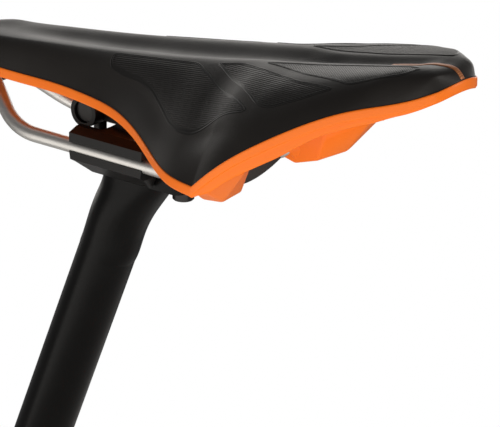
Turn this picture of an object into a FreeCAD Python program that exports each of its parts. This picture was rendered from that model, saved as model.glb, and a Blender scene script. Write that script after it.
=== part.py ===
import FreeCAD, Part
import math
import os
from bisect import bisect_right

# Mountain-bike saddle on its two-bolt seatpost, millimetres.
#
# Drawing frame: X forward to the nose, Y to the rider's left, Z up, with its
# zero where the post's axis crosses the level of the rail centres.  Every
# piece is drawn there and then carried to the part's own frame, whose zero
# is the centre of the post's lower end.

Vec = FreeCAD.Vector

# ---------------------------------------------------------------- sizes
# seatpost
POST_R = 13.6                 # outside radius of the tube
POST_WALL = 2.3
POST_LENGTH = 350.0           # lower end to the level of the rails, along the axis
POST_LEAN = 21.6              # degrees, the top leans to the rear
POST_END_CHAMFER = 0.8        # inside edge of the tube's foot
BORE_TOP = 52.0               # solid metal left above the bore, along the axis

# clamp
CLAMP_X = 2.2                 # middle of the clamp
CLAMP_HALF = 21.4             # half of the clamp's length
CLAMP_SIDE = 25.6             # outer faces of cradle and yoke, from the middle
ROCK_Z = 13.0                 # height of the axis that the saddle tilts about
ROCK_R = 25.0                 # radius of the cradle's round underside
ROCK_GAP = 0.3                # cradle to the seat in the head
CRADLE_TOP = -1.3
CRADLE_CORE = 13.0            # half width of the round middle of the cradle
CRADLE_SIDE_Z = -5.2          # underside of the cradle at its outer faces
CRADLE_KNEE = (22.6, -7.0)    # (out, up) where the underside turns
CRADLE_ROOT = (14.5, -13.5)   # (out, up) where it meets the head
CRADLE_END_KNEE = 20.4        # the same two heights seen from the side, from the middle
CRADLE_END_ROOT = 17.0
SLOT_HALF = 4.0               # half width of the end slots for the bolts
SLOT_DEEP = 6.2               # from the bolt's axis into the cradle
YOKE_LOW = 2.9                # lower edge of the yoke's side bars
YOKE_SHOULDER = 7.4           # where the outer face turns into the bevel
YOKE_TOP = 9.4
YOKE_BAR = 8.2                # width of a side bar
YOKE_BEVEL = 5.2              # width of its bevel
HUB_HALF = 8.5                # half length of the bridge between the bars
HUB_TOP = 12.0
HUB_LOW = 4.6
HUB_SADDLE = 12.0             # half width of the hub's raised middle
SPINE_HALF = 5.5              # half width of the spine that carries the nut housings
SPINE_LOW = 8.6
TILT_LIMIT = 8.0              # degrees each way

# clamp bolts and their barrel nuts
BOLT_SPAN = 24.8              # each bolt from the middle of the clamp
BOLT_R = 3.0
BOLT_HEAD_R = 5.0
BOLT_HEAD = 4.6
BOLT_HEAD_CHAMFER = 0.6
BOLT_KEY = 5.0                # across the flats of the hexagon socket
BOLT_KEY_DEPTH = 2.6
BOLT_ABOVE_NUT = 2.0          # thread that stands out of the nut's top
THREAD_GAP = 0.05
HOLE_GAP = 0.35               # bolt to the holes it only passes through
NUT_R = 5.0
NUT_HALF = 10.5
NUT_GAP = 0.3                 # nut to its housing
HOUSING_WALL = 2.1
HOUSING_HALF = 12.0
HOUSING_SLOT = 4.7            # half length of the slot the bolt leans in
WASHER_R = 5.8
WASHER_THICK = 1.0
SEAT_GAP = 0.1                # bolt head to washer

# head of the post
LUG_LOW = {"front": -12.5, "rear": -15.0}     # undersides, where the washers sit
LUG_TOP = -6.5
LUG_HALF = {"front": 7.0, "rear": 11.5}
LUG_END = 7.0                 # lug's end beyond its bolt
LUG_CORNER = 5.0
NECK_POINTS = 24              # points round each section of the neck
KEY_FLUTE = 30.0              # length of the flute for the front bolt's key
NECK_LOW = 60.0               # down the axis to where the neck grows out of the tube
NECK_SWELL = 50.0             # and to its next section
NECK_STEP = 0.12              # the neck's first section stands out past the tube
TUBE_TOP = 38.0               # down the axis to the tube's end, inside the neck
HEAD_CLEAR = 6.2              # room round the front bolt's head

# rails
RAIL_R = 3.5
RAIL_HALF = 22.0              # half of the rails' spacing in the clamp
RAIL_GAP = 0.1                # rail to the grooves of the clamp
RAIL_FRONT = 60.0             # where the front bend would have its corner
RAIL_REAR = -50.0             # and the rear bend
RAIL_BEND_R = 36.0
RAIL_NOSE = (95.5, 6.8, 20.2)     # front end of the left rail
RAIL_NOSE_BEND = (86.0, 8.5, 17.5)
RAIL_NOSE_BEND_R = 25.0
RAIL_TAIL = (-75.0, 35.5, 12.5)   # rear end of the left rail

# saddle skins
COVER = 1.8
BOND = 0.1                    # glue line between skin, foam and shell
SHELL = 3.0
LIP_PROUD = 0.8               # the shell's edge stands out past the cover
LIP_INSIDE = 4.2              # how far inside the outline the foam's bed starts
LIP_WALL = 3.2
BED_RIM = 0.15                # the foam's bed starts this far below the cover's edge
INLAY = 0.6                   # raised grip panels and stripe
STRIPE_HALF = 1.4

# rail sockets
SOCKET_GAP = 0.1
TRIM_INSIDE = 2.0             # the blocks end inside the shell: in from the cover's edge
TRIM_DOWN = 3.0               # and below it
BRIDGE_X = -59.0
BRIDGE_THICK = 5.0
BRIDGE_LOW = [(0.0, -4.3), (11.0, -3.1), (26.0, 1.7), (34.0, 6.0)]    # (out, up)
BRIDGE_TOP = [(34.0, 15.0), (16.0, 8.0), (0.0, 5.5)]
BOSS_R = 5.6                  # round each rail where it enters the shell
BOSS_OUT = 13.0               # boss's end, back along the rail from the rail's end
NOSE_BLOCK_LOW = 13.5
NOSE_BLOCK = [(84.5, 13.0), (91.0, 12.4), (97.5, 10.6), (101.0, 6.5)]     # (forward, out)
SCREW_X = 92.5
SCREW_R = 2.0
SCREW_TOP = 26.0
SCREW_GAP = 0.1               # end of its hole
SCREW_HEAD_R = 3.8
SCREW_HEAD = 2.4
SCREW_SLOT = 1.2
CLEAR_OFF = 40.0              # reach of the bodies that only cut others, past everything

# ---------------------------------------------------------------- saddle ribs
# One rib per line, nose to tail: where the cover's edge is (forward, out, up)
# and where the rib crosses the middle (forward, up to the crown line).
FRONT_RIBS = [
    (94.0, 15.5, 26.5, 108.0, 27.6),
    (91.0, 17.3, 26.6, 106.8, 33.4),
    (85.0, 18.6, 26.8, 102.0, 37.4),
    (74.0, 19.6, 27.0, 90.0, 39.1),
    (55.0, 21.0, 27.4, 66.0, 41.0),
    (33.0, 23.7, 28.4, 40.0, 43.5),
    (10.0, 28.2, 28.7, 14.0, 46.3),
    (-12.0, 35.0, 28.3, -10.0, 49.4),
    (-32.0, 44.5, 25.6, -31.0, 52.3),
    (-50.0, 55.2, 21.6, -50.0, 55.2),
    (-67.5, 65.1, 19.2, -67.0, 58.0),
    (-84.0, 69.5, 18.8, -84.0, 60.5),
]
REAR_RIBS = [
    (-84.0, 69.5, 18.8, -84.0, 60.5),
    (-92.0, 68.6, 26.4, -93.0, 61.6),
    (-101.0, 66.1, 34.0, -103.0, 62.9),
    (-112.0, 61.8, 41.7, -115.0, 64.9),
    (-125.0, 54.6, 49.6, -129.0, 67.4),
    (-137.0, 46.4, 55.6, -142.0, 69.9),
    (-148.0, 37.6, 59.2, -154.0, 72.1),
    (-157.0, 28.8, 61.0, -162.6, 72.8),
    (-164.2, 20.8, 63.1, -169.2, 71.4),
    (-168.9, 14.4, 65.2, -172.6, 68.0),
]
RIB_POINTS = 17               # points across a rib, edge to edge
RIB_REACH = 1.3               # radians; the points are closer together towards the edges
NOSE_BOW = [0.5, 0.65, 0.8]   # powers of the first ribs' bow in plan: round at the nose
CREST_OUT = [(60.0, 13.0), (-50.0, 15.5), (-85.0, 13.5), (-102.0, 9.5), (-130.0, 9.0),
             (-160.0, 10.5)]       # crest line, out from the middle
CREST_MOST = 0.62             # crest line never further out than this share of the rib
FOAM = [(108.0, 6.0), (60.0, 9.5), (20.0, 12.0), (-60.0, 13.0), (-140.0, 10.5), (-170.0, 5.0)]
CHANNEL_DEPTH = [(110.0, 0.0), (80.0, 0.6), (40.0, 2.0), (0.0, 2.7), (-60.0, 3.2), (-95.0, 3.0),
                 (-120.0, 2.4), (-148.0, 2.0), (-160.0, 0.8), (-170.0, 0.0)]
FLANK_POWER = [(108.0, 2.6), (40.0, 2.5), (0.0, 2.2), (-50.0, 1.8), (-66.0, 1.8), (-112.0, 3.7),
               (-135.0, 4.0), (-150.0, 3.6), (-166.0, 2.4)]
LIP = [(108.0, 4.8), (-82.0, 5.0), (-94.0, 9.6), (-118.0, 10.4), (-137.0, 8.0), (-150.0, 7.4), (-159.0, 6.0),
       (-177.0, 4.6)]


def smooth(x, table):
    """Value of a table of (place, value) pairs at x, eased between neighbours."""
    rows = sorted(table)
    places = [row[0] for row in rows]
    i = min(max(bisect_right(places, x) - 1, 0), len(rows) - 2)
    t = min(max((x - places[i]) / (places[i + 1] - places[i]), 0.0), 1.0)
    t = t * t * (3.0 - 2.0 * t)
    return rows[i][1] + (rows[i + 1][1] - rows[i][1]) * t

# grip panels in plan, each (forward, out), on the left half
GRIPS = {
    "front": [(4.0, 16.8), (2.5, 23.0), (-8.3, 26.3), (-20.9, 29.5), (-30.9, 33.5), (-42.3, 40.3),
              (-51.9, 46.5), (-60.0, 50.5), (-68.4, 52.7), (-75.8, 52.9), (-85.7, 51.8), (-97.0, 53.0),
              (-98.6, 51.4), (-72.6, 35.9), (-47.1, 20.2), (-23.4, 18.6)],
    "mid": [(-57.0, 20.0), (-103.0, 50.7), (-109.9, 51.9), (-122.6, 46.3), (-134.8, 38.0),
            (-113.8, 35.1), (-71.6, 18.4)],
    "rear": [(-80.0, 16.0), (-97.4, 21.8), (-112.2, 28.3), (-138.0, 35.0), (-141.1, 33.4),
             (-156.9, 21.3), (-160.0, 11.8), (-155.5, 10.2), (-124.4, 10.4), (-95.0, 12.6)],
}
STRIPE = [(-136.0, -STRIPE_HALF), (-176.0, -STRIPE_HALF), (-176.0, STRIPE_HALF), (-136.0, STRIPE_HALF)]

# ---------------------------------------------------------------- saddle surfaces
def outward(points):
    """Unit normals of a line of (x, y) points, to the left of its way."""
    normals = []
    for i in range(len(points)):
        before = points[max(i - 1, 0)]
        after = points[min(i + 1, len(points) - 1)]
        along = Vec(after[0] - before[0], after[1] - before[1], 0).normalize()
        normals.append((along.y, -along.x))
    return normals


RIBS = FRONT_RIBS + REAR_RIBS[1:]
EDGE_NORMALS = outward([rib[:2] for rib in RIBS])
MID_NORMALS = outward([rib[3:] for rib in RIBS])


def rib_point(number, across, inset, edge_up, crown_up, bed, lip):
    """Point of one rib, across from -1 to 1, offset from the cover's outer face."""
    edge_x, edge_y, edge_z, mid_x, crown_z = RIBS[number]
    ends = number in (0, len(RIBS) - 1)
    bow = NOSE_BOW[number] if number < len(NOSE_BOW) else 1.0
    x = edge_x - EDGE_NORMALS[number][0] * inset
    y = edge_y - EDGE_NORMALS[number][1] * inset
    mid = mid_x - MID_NORMALS[number][0] * inset
    x += (mid - x) * (1.0 - across ** 2) ** bow
    edge = edge_z + edge_up - (smooth(edge_x, LIP) if lip else 0.0)
    if ends:
        return Vec(x, y * across, edge + (crown_z - edge_z) * (1.0 - across ** 2))
    crown = crown_z + crown_up
    if bed:
        crown = max(crown - smooth(mid_x, FOAM), edge)
    peak = min(smooth(mid_x, CREST_OUT) / y, CREST_MOST)
    flank = max(0.0, (abs(across) - peak) / (1.0 - peak))
    z = edge + (crown - edge) * (1.0 - flank ** smooth(mid_x, FLANK_POWER))
    if not bed:
        middle = max(0.0, 1.0 - abs(across) / peak)
        z -= smooth(mid_x, CHANNEL_DEPTH) * math.sin(math.pi / 2 * middle) ** 2
    return Vec(x, y * across, z)


def curve_through(points, places):
    """Smooth curve through points, each at its own parameter."""
    curve = Part.BSplineCurve()
    curve.interpolate(Points=points, Parameters=places)
    return curve


def sheet(numbers, *offsets):
    """Smooth surface through the numbered ribs."""
    steps = [RIB_REACH * (2.0 * k / (RIB_POINTS - 1.0) - 1.0) for k in range(RIB_POINTS)]
    places = [0.0]
    for number in numbers[1:]:
        places.append(places[-1] + math.dist(RIBS[number], RIBS[number - 1]))
    ribs = []
    for number in numbers:
        points = [rib_point(number, math.sin(step) / math.sin(RIB_REACH), *offsets)
                  for step in steps]
        ribs.append(curve_through(points, steps))
    rows = [curve_through(list(row), places) for row in zip(*[rib.getPoles() for rib in ribs])]
    surface = Part.BSplineSurface()
    surface.buildFromPolesMultsKnots(
        [row.getPoles() for row in rows],
        ribs[0].getMultiplicities(), rows[0].getMultiplicities(),
        ribs[0].getKnots(), rows[0].getKnots(), False, False, 3, 3)
    return surface


def sheets(inset, edge_up, crown_up, bed=False, lip=False):
    """The front and the rear surface, which meet in the ridge out to the wing tips."""
    tip = len(FRONT_RIBS) - 1
    numbers = list(range(len(RIBS)))
    return [sheet(part, inset, edge_up, crown_up, bed, lip)
            for part in (numbers[:tip + 1], numbers[tip:])]


def strips(low, high):
    """Faces that join the borders of two pairs of sheets."""
    faces = []
    for end, one, other in zip((2, 3), low, high):
        borders = [one.uIso(one.bounds()[0]), one.uIso(one.bounds()[1])]
        partners = [other.uIso(other.bounds()[0]), other.uIso(other.bounds()[1])]
        borders.append(one.vIso(one.bounds()[end]))
        partners.append(other.vIso(other.bounds()[end]))
        for border, partner in zip(borders, partners):
            faces.append(Part.makeRuledSurface(border.toShape(), partner.toShape()))
    return faces


def closed(faces):
    """Solid inside a closed set of faces."""
    skin = Part.Shell(faces)
    skin.sewShape()
    solid = Part.Solid(skin)
    if solid.Volume < 0:
        solid.reverse()
    return solid


def layer(*levels):
    """Solid between the first and the last pair of sheets, by way of the borders between."""
    faces = [surface.toShape() for surface in levels[0] + levels[-1]]
    for low, high in zip(levels, levels[1:]):
        faces += strips(low, high)
    return closed(faces)


# ---------------------------------------------------------------- shared makers
def box(low, high):
    """Box between two corners."""
    size = [b - a for a, b in zip(low, high)]
    return Part.makeBox(*size, Vec(*low))


def rod(radius, start, stop):
    """Cylinder between two points."""
    start, stop = Vec(*start), Vec(*stop)
    return Part.makeCylinder(radius, (stop - start).Length, start, stop - start)


def across_prism(points, half):
    """Prism of an (x, z) polygon, from -half to half across."""
    corners = [Vec(x, -half, z) for x, z in points]
    face = Part.Face(Part.makePolygon(corners + corners[:1]))
    return face.extrude(Vec(0, 2 * half, 0))


def along_prism(points, start, stop):
    """Prism of a (y, z) polygon, from start to stop along X."""
    corners = [Vec(start, y, z) for y, z in points]
    face = Part.Face(Part.makePolygon(corners + corners[:1]))
    return face.extrude(Vec(stop - start, 0, 0))


def mirrored(shape):
    """The same shape on the rider's right."""
    return shape.mirror(Vec(0, 0, 0), Vec(0, 1, 0))


def both_sides(points):
    """An (out, z) line on the left with its mirror image on the right before it."""
    return [(-y, z) for y, z in points] + [(y, z) for y, z in reversed(points)]


def polyhedron(points, triangles):
    """Solid with flat triangular faces."""
    faces = []
    for triangle in triangles:
        corners = [points[k] for k in triangle]
        faces.append(Part.Face(Part.makePolygon([Vec(*p) for p in corners + corners[:1]])))
    return closed(faces)


def one_solid(shape):
    """The single solid that a cut or a join should leave."""
    solids = sorted(shape.removeSplitter().Solids, key=lambda part: part.Volume)
    if len(solids) != 1:
        print("more than one solid:", [round(part.Volume, 1) for part in solids])
    return solids[-1]


# ---------------------------------------------------------------- seatpost
LEAN = math.radians(POST_LEAN)
POST_UP = Vec(-math.sin(LEAN), 0, math.cos(LEAN))
BOLTS = {"front": CLAMP_X + BOLT_SPAN, "rear": CLAMP_X - BOLT_SPAN}


def section(centre, tilt, fore, aft, half, power):
    """Closed egg-shaped curve; fore and aft are its reaches along its tilted X."""
    along = Vec(math.cos(tilt), 0, math.sin(tilt))
    points = []
    for k in range(NECK_POINTS):
        turn = 2 * math.pi * k / NECK_POINTS
        c, s = math.cos(turn), math.sin(turn)
        reach = (fore if c > 0 else aft) * math.copysign(abs(c) ** (2 / power), c)
        side = half * math.copysign(abs(s) ** (2 / power), s)
        points.append(centre + along * reach + Vec(0, side, 0))
    curve = Part.BSplineCurve()
    curve.interpolate(Points=points, PeriodicFlag=True)
    return Part.Wire(curve.toShape())


def lug(name):
    """Ear of the head that a bolt passes through."""
    x, half, end = BOLTS[name], LUG_HALF[name], LUG_END
    way = 1 if name == "front" else -1
    reach = abs(x - CLAMP_X) + end
    low = min(CLAMP_X, CLAMP_X + way * reach)
    ear = box((low, -half, LUG_LOW[name]), (low + reach, half, LUG_TOP))
    tip = CLAMP_X + way * reach
    edges = [edge for edge in ear.Edges
             if edge.BoundBox.ZLength > 1 and abs(edge.BoundBox.Center.x - tip) < 1]
    return ear.makeFillet(LUG_CORNER, edges)


foot = POST_UP * -POST_LENGTH
tube = rod(POST_R, foot, POST_UP * -TUBE_TOP)
NECK = [
    (POST_UP * -NECK_LOW, LEAN, POST_R + NECK_STEP, POST_R + NECK_STEP, POST_R + NECK_STEP, 2.0),
    (POST_UP * -NECK_SWELL, LEAN, POST_R + 0.3, POST_R + 0.3, POST_R + 0.2, 2.0),
    (Vec(9.6, 0, -27.0), 0.5 * LEAN, 15.0, 15.8, 13.5, 2.1),
    (Vec(4.0, 0, LUG_LOW["rear"]), 0.0, 16.2, 19.6, 12.4, 2.6),
    (Vec(4.0, 0, LUG_TOP), 0.0, 15.6, 20.2, 12.2, 2.8),
]
neck = Part.makeLoft([section(*row) for row in NECK], True)
head = tube.fuse([neck, lug("front"), lug("rear")])
bore_top = POST_UP * -BORE_TOP
head = head.cut(rod(POST_R - POST_WALL, foot - POST_UP, bore_top))
bore_mouth = Part.makeCone(POST_R - POST_WALL + POST_END_CHAMFER, POST_R - POST_WALL,
                           POST_END_CHAMFER, foot, POST_UP)
head = head.cut(bore_mouth)
seat = rod(ROCK_R + ROCK_GAP, (CLAMP_X, -POST_R * 2, ROCK_Z), (CLAMP_X, POST_R * 2, ROCK_Z))
head = head.cut(seat)
for name, x in BOLTS.items():
    head = head.cut(rod(BOLT_R + HOLE_GAP, (x, 0, 2 * LUG_LOW[name]), (x, 0, 0)))
front = Vec(BOLTS["front"], 0, LUG_LOW["front"])
head = head.cut(rod(HEAD_CLEAR, front, front - Vec(0, 0, WASHER_THICK + SEAT_GAP + BOLT_HEAD)))
down_post = front - Vec(0, 0, WASHER_THICK + SEAT_GAP)
head = head.cut(rod(HEAD_CLEAR, down_post, down_post - POST_UP * KEY_FLUTE))
seatpost = one_solid(head)


# ---------------------------------------------------------------- clamp
def at_clamp(points):
    """(x, z) points given from the middle of the clamp."""
    return [(CLAMP_X + x, z) for x, z in points]


rail_grooves = [rod(RAIL_R + RAIL_GAP, (RAIL_REAR, side * RAIL_HALF, 0),
                    (RAIL_FRONT, side * RAIL_HALF, 0)) for side in (1, -1)]
clamp_rear, clamp_front = CLAMP_X - CLAMP_HALF, CLAMP_X + CLAMP_HALF

side_view = [(CLAMP_HALF, CRADLE_TOP), (CRADLE_END_KNEE, CRADLE_KNEE[1]),
             (CRADLE_END_ROOT, CRADLE_ROOT[1])]
side_view += [(-x, z) for x, z in reversed(side_view)]
cradle = across_prism(at_clamp(side_view), CLAMP_SIDE)
end_view = [(CLAMP_SIDE, CRADLE_TOP), (CLAMP_SIDE, CRADLE_SIDE_Z), CRADLE_KNEE, CRADLE_ROOT]
cradle = cradle.common(along_prism(both_sides(end_view), clamp_rear, clamp_front))
round_core = rod(ROCK_R, (CLAMP_X, -CRADLE_CORE, ROCK_Z), (CLAMP_X, CRADLE_CORE, ROCK_Z))
hollow = box((clamp_rear - 1, -CRADLE_CORE, CRADLE_ROOT[1] - 1),
             (clamp_front + 1, CRADLE_CORE, CRADLE_TOP + 1)).cut(round_core)
cradle = cradle.cut(hollow).cut(rail_grooves)
for way in (1, -1):
    bolt_x = CLAMP_X + way * BOLT_SPAN
    slot_end = bolt_x - way * SLOT_DEEP
    far = bolt_x + way * SLOT_DEEP
    cradle = cradle.cut(box((min(slot_end, far), -SLOT_HALF, CRADLE_ROOT[1] - 1),
                            (max(slot_end, far), SLOT_HALF, CRADLE_TOP + 1)))
cradle = one_solid(cradle)

bar_inside = CLAMP_SIDE - YOKE_BAR
bar_view = [(bar_inside, YOKE_LOW), (CLAMP_SIDE, YOKE_LOW), (CLAMP_SIDE, YOKE_SHOULDER),
            (CLAMP_SIDE - YOKE_BEVEL, YOKE_TOP), (bar_inside, YOKE_TOP)]
bar = along_prism(bar_view, clamp_rear, clamp_front)
hub = box((CLAMP_X - HUB_HALF, -bar_inside, HUB_LOW), (CLAMP_X + HUB_HALF, bar_inside, YOKE_TOP))
hub_rise = across_prism(at_clamp([(-HUB_HALF, YOKE_TOP), (HUB_HALF, YOKE_TOP),
                                  (0.5 * HUB_HALF, HUB_TOP), (-0.5 * HUB_HALF, HUB_TOP)]),
                        HUB_SADDLE)
spine = box((BOLTS["rear"], -SPINE_HALF, SPINE_LOW), (BOLTS["front"], SPINE_HALF, HUB_TOP))
pieces = [mirrored(bar), hub, hub_rise, spine]
bores = []
housing_r = NUT_R + NUT_GAP + HOUSING_WALL
for x in BOLTS.values():
    pieces.append(rod(housing_r, (x, -HOUSING_HALF, ROCK_Z), (x, HOUSING_HALF, ROCK_Z)))
    bores.append(rod(NUT_R + NUT_GAP, (x, -HOUSING_HALF - 1, ROCK_Z), (x, HOUSING_HALF + 1, ROCK_Z)))
    slot_y = BOLT_R + HOLE_GAP
    bores.append(box((x - HOUSING_SLOT, -slot_y, ROCK_Z - housing_r - 1),
                     (x + HOUSING_SLOT, slot_y, ROCK_Z + housing_r + 1)))
yoke = one_solid(bar.fuse(pieces).cut(bores + rail_grooves))


# ---------------------------------------------------------------- bolts, nuts and washers
def hexagon(x, low, high):
    """Hexagonal socket on a vertical axis."""
    reach = BOLT_KEY / math.sqrt(3)
    corners = [Vec(x + reach * math.cos(k * math.pi / 3), reach * math.sin(k * math.pi / 3), low)
               for k in range(6)]
    face = Part.Face(Part.makePolygon(corners + corners[:1]))
    return face.extrude(Vec(0, 0, high - low))


bolts, nuts, washers = {}, {}, {}
for name, x in BOLTS.items():
    under = LUG_LOW[name] - WASHER_THICK
    washer = rod(WASHER_R, (x, 0, under), (x, 0, LUG_LOW[name]))
    washers[name] = washer.cut(rod(BOLT_R + HOLE_GAP, (x, 0, under - 1), (x, 0, 0)))
    head_top = under - SEAT_GAP
    head_low = head_top - BOLT_HEAD
    bolt_head = rod(BOLT_HEAD_R, (x, 0, head_low), (x, 0, head_top))
    low_rim = [edge for edge in bolt_head.Edges if edge.BoundBox.ZMax < head_low + 1]
    bolt_head = bolt_head.makeChamfer(BOLT_HEAD_CHAMFER, low_rim)
    bolt_end = ROCK_Z + NUT_R + BOLT_ABOVE_NUT
    bolt = bolt_head.fuse(rod(BOLT_R, (x, 0, head_top - 1), (x, 0, bolt_end)))
    bolts[name] = one_solid(bolt.cut(hexagon(x, head_low - 1, head_low + BOLT_KEY_DEPTH)))
    nut = rod(NUT_R, (x, -NUT_HALF, ROCK_Z), (x, NUT_HALF, ROCK_Z))
    nuts[name] = nut.cut(rod(BOLT_R + THREAD_GAP, (x, 0, 0), (x, 0, bolt_end)))


# ---------------------------------------------------------------- rails
def rounded_line(points, radii):
    """Wire of straight runs with an arc of the given radius at each inner point."""
    points = [Vec(*point) for point in points]
    edges, last = [], points[0]
    for before, corner, after, radius in zip(points, points[1:], points[2:], radii):
        back, ahead = (before - corner).normalize(), (after - corner).normalize()
        half_turn = 0.5 * (math.pi - back.getAngle(ahead))
        start = corner + back * (radius * math.tan(half_turn))
        stop = corner + ahead * (radius * math.tan(half_turn))
        toward = (back + ahead).normalize()
        middle = corner + toward * (radius / math.cos(half_turn) - radius)
        edges += [Part.makeLine(last, start), Part.Arc(start, middle, stop).toShape()]
        last = stop
    return Part.Wire(edges + [Part.makeLine(last, points[-1])])


rail_line = rounded_line(
    [RAIL_NOSE, RAIL_NOSE_BEND, (RAIL_FRONT, RAIL_HALF, 0), (RAIL_REAR, RAIL_HALF, 0), RAIL_TAIL],
    [RAIL_NOSE_BEND_R, RAIL_BEND_R, RAIL_BEND_R])


def sweep_rail(radius):
    """Round bar along the left rail's line."""
    start = Vec(*RAIL_NOSE)
    ring = Part.Wire(Part.makeCircle(radius, start, start - Vec(*RAIL_NOSE_BEND)))
    return rail_line.makePipeShell([ring], True, True)


rail_left = sweep_rail(RAIL_R)
rail_room = sweep_rail(RAIL_R + SOCKET_GAP)

# ---------------------------------------------------------------- cover, padding and shell
skin_in = COVER + BOND
cover = layer(sheets(0, 0, 0), sheets(COVER, 0, -COVER))
padding = layer(sheets(skin_in, 0, -skin_in),
                sheets(LIP_INSIDE + BOND, BOND - BED_RIM, BOND - skin_in, True))
bed = sheets(LIP_INSIDE, -BED_RIM, -skin_in, True)
underside = sheets(LIP_WALL, 0, -skin_in - SHELL, True, True)
shell = layer(bed, sheets(-LIP_PROUD, -BED_RIM, 0), sheets(-LIP_PROUD, 0, 0, False, True), underside)

# a block under each wing holds the rear end of a rail
middle = -skin_in - 0.5 * SHELL
over_shell = layer(sheets(TRIM_INSIDE, -TRIM_DOWN, middle, True),
                   sheets(TRIM_INSIDE, CLEAR_OFF, CLEAR_OFF + middle, True))
BLOCK = [
    (-64.5, 27.0, -1.3), (-77.5, 27.0, 3.0), (-81.0, 44.5, 3.65), (-69.5, 44.5, 2.4),
    (-55.0, 24.5, 5.0), (-81.0, 26.5, 14.0), (-93.0, 45.0, 20.0), (-87.0, 64.3, 17.5),
    (-84.0, 65.0, 15.5), (-71.0, 61.5, 16.5), (-60.0, 45.0, 12.0),
    (-52.0, 23.0, 62.0), (-90.0, 26.0, 62.0), (-100.0, 45.0, 62.0), (-92.0, 62.5, 62.0),
    (-84.0, 64.6, 62.0), (-71.0, 61.0, 62.0), (-58.0, 45.0, 62.0),
]
POCKET = ((-90.0, 47.0, 14.0), (-50.0, 60.5, 62.0))     # open to the front, in the block's outer half
BLOCK_FACES = [
    (0, 1, 2), (0, 2, 3), (0, 1, 5), (0, 5, 4), (1, 2, 6), (1, 6, 5), (2, 7, 6), (2, 8, 7),
    (2, 3, 9), (2, 9, 8), (3, 10, 9), (3, 0, 4), (3, 4, 10),
]
BLOCK_FACES += [(k, (k - 3) % 7 + 4, (k - 3) % 7 + 11) for k in range(4, 11)]
BLOCK_FACES += [(k, (k - 3) % 7 + 11, k + 7) for k in range(4, 11)]
BLOCK_FACES += [(11, k, k + 1) for k in range(12, 17)]
block = polyhedron(BLOCK, BLOCK_FACES)
tail, tail_way = Vec(*RAIL_TAIL), Vec(RAIL_REAR, RAIL_HALF, 0) - Vec(*RAIL_TAIL)
boss = rod(BOSS_R, tail, tail + tail_way.normalize() * BOSS_OUT)
block = block.fuse(boss).cut([over_shell, rail_room])
block = block.cut(box(*POCKET))
socket = one_solid(block)
shell = shell.fuse([socket, mirrored(socket)])

# ---------------------------------------------------------------- bridge and nose socket
def bow(line):
    """Curve in the plane of the bridge through an (out, up) line and its mirror image."""
    points = [(-y, z) for y, z in line[:0:-1]] + line
    curve = Part.BSplineCurve()
    curve.interpolate(Points=[Vec(BRIDGE_X, y, z) for y, z in points])
    return curve.toShape()


low_bow, top_bow = bow(BRIDGE_LOW), bow(BRIDGE_TOP)
ends = [Part.makeLine(low_bow.valueAt(place), top_bow.valueAt(other))
        for place, other in ((low_bow.FirstParameter, top_bow.FirstParameter),
                             (low_bow.LastParameter, top_bow.LastParameter))]
outline = Part.Wire([low_bow, ends[1], top_bow, ends[0]])
bridge = Part.Face(outline).extrude(Vec(BRIDGE_THICK, 0, 0))
bridge = bridge.cut([socket, mirrored(socket), rail_room, mirrored(rail_room)])
rear_bridge = sorted(bridge.Solids, key=lambda part: part.Volume)[-1]

under_shell = layer(sheets(LIP_WALL, -BOND, -skin_in - SHELL - BOND, True, True),
                    sheets(LIP_WALL, -CLEAR_OFF, -skin_in - SHELL - CLEAR_OFF, True, True))
plan = NOSE_BLOCK + [(x, -y) for x, y in NOSE_BLOCK[::-1]]
corners = [Vec(x, y, NOSE_BLOCK_LOW) for x, y in plan]
nose_socket = Part.Face(Part.makePolygon(corners + corners[:1])).extrude(Vec(0, 0, CLEAR_OFF))
nose_socket = nose_socket.common(under_shell).cut([rail_room, mirrored(rail_room)])
screw_hole = rod(SCREW_R + THREAD_GAP, (SCREW_X, 0, 0), (SCREW_X, 0, SCREW_TOP + SCREW_GAP))
screw_head = rod(SCREW_HEAD_R, (SCREW_X, 0, NOSE_BLOCK_LOW), (SCREW_X, 0, NOSE_BLOCK_LOW + SCREW_HEAD))
nose_socket = one_solid(nose_socket.cut([screw_hole, screw_head]))
shell = one_solid(shell.cut(screw_hole))
nose_screw = screw_head.fuse(rod(SCREW_R, (SCREW_X, 0, NOSE_BLOCK_LOW), (SCREW_X, 0, SCREW_TOP)))
slot = box((SCREW_X - SCREW_HEAD_R, -0.5 * SCREW_SLOT, NOSE_BLOCK_LOW),
           (SCREW_X + SCREW_HEAD_R, 0.5 * SCREW_SLOT, NOSE_BLOCK_LOW + 0.5 * SCREW_HEAD))
nose_screw = one_solid(nose_screw.cut(slot))

# ---------------------------------------------------------------- grip panels and stripe
face_layer = layer(sheets(-BOND, 0, BOND), sheets(-BOND - INLAY, 0, BOND + INLAY))


def inlay(outline):
    """Part of the raised layer over a plan outline."""
    corners = [Vec(x, y, 0) for x, y in outline]
    face = Part.Face(Part.makePolygon(corners + corners[:1]))
    return one_solid(face_layer.common(face.extrude(Vec(0, 0, CLEAR_OFF * 2))))


grips = {name: inlay(outline) for name, outline in GRIPS.items()}
centre_stripe = inlay(STRIPE)

# ---------------------------------------------------------------- nodes
NODES = {
    "seatpost": seatpost,
    "washer_front": washers["front"],
    "washer_rear": washers["rear"],
    "lower_cradle": cradle,
    "upper_yoke": yoke,
    "barrel_nut_front": nuts["front"],
    "barrel_nut_rear": nuts["rear"],
    "bolt_front": bolts["front"],
    "bolt_rear": bolts["rear"],
    "shell": shell,
    "rear_bridge": rear_bridge,
    "nose_socket": nose_socket,
    "nose_screw": nose_screw,
    "rail_left": rail_left,
    "rail_right": mirrored(rail_left),
    "padding": padding,
    "cover": cover,
    "centre_stripe": centre_stripe,
}
for name, grip in grips.items():
    NODES["grip_" + name + "_left"] = grip
    NODES["grip_" + name + "_right"] = mirrored(grip)

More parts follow.
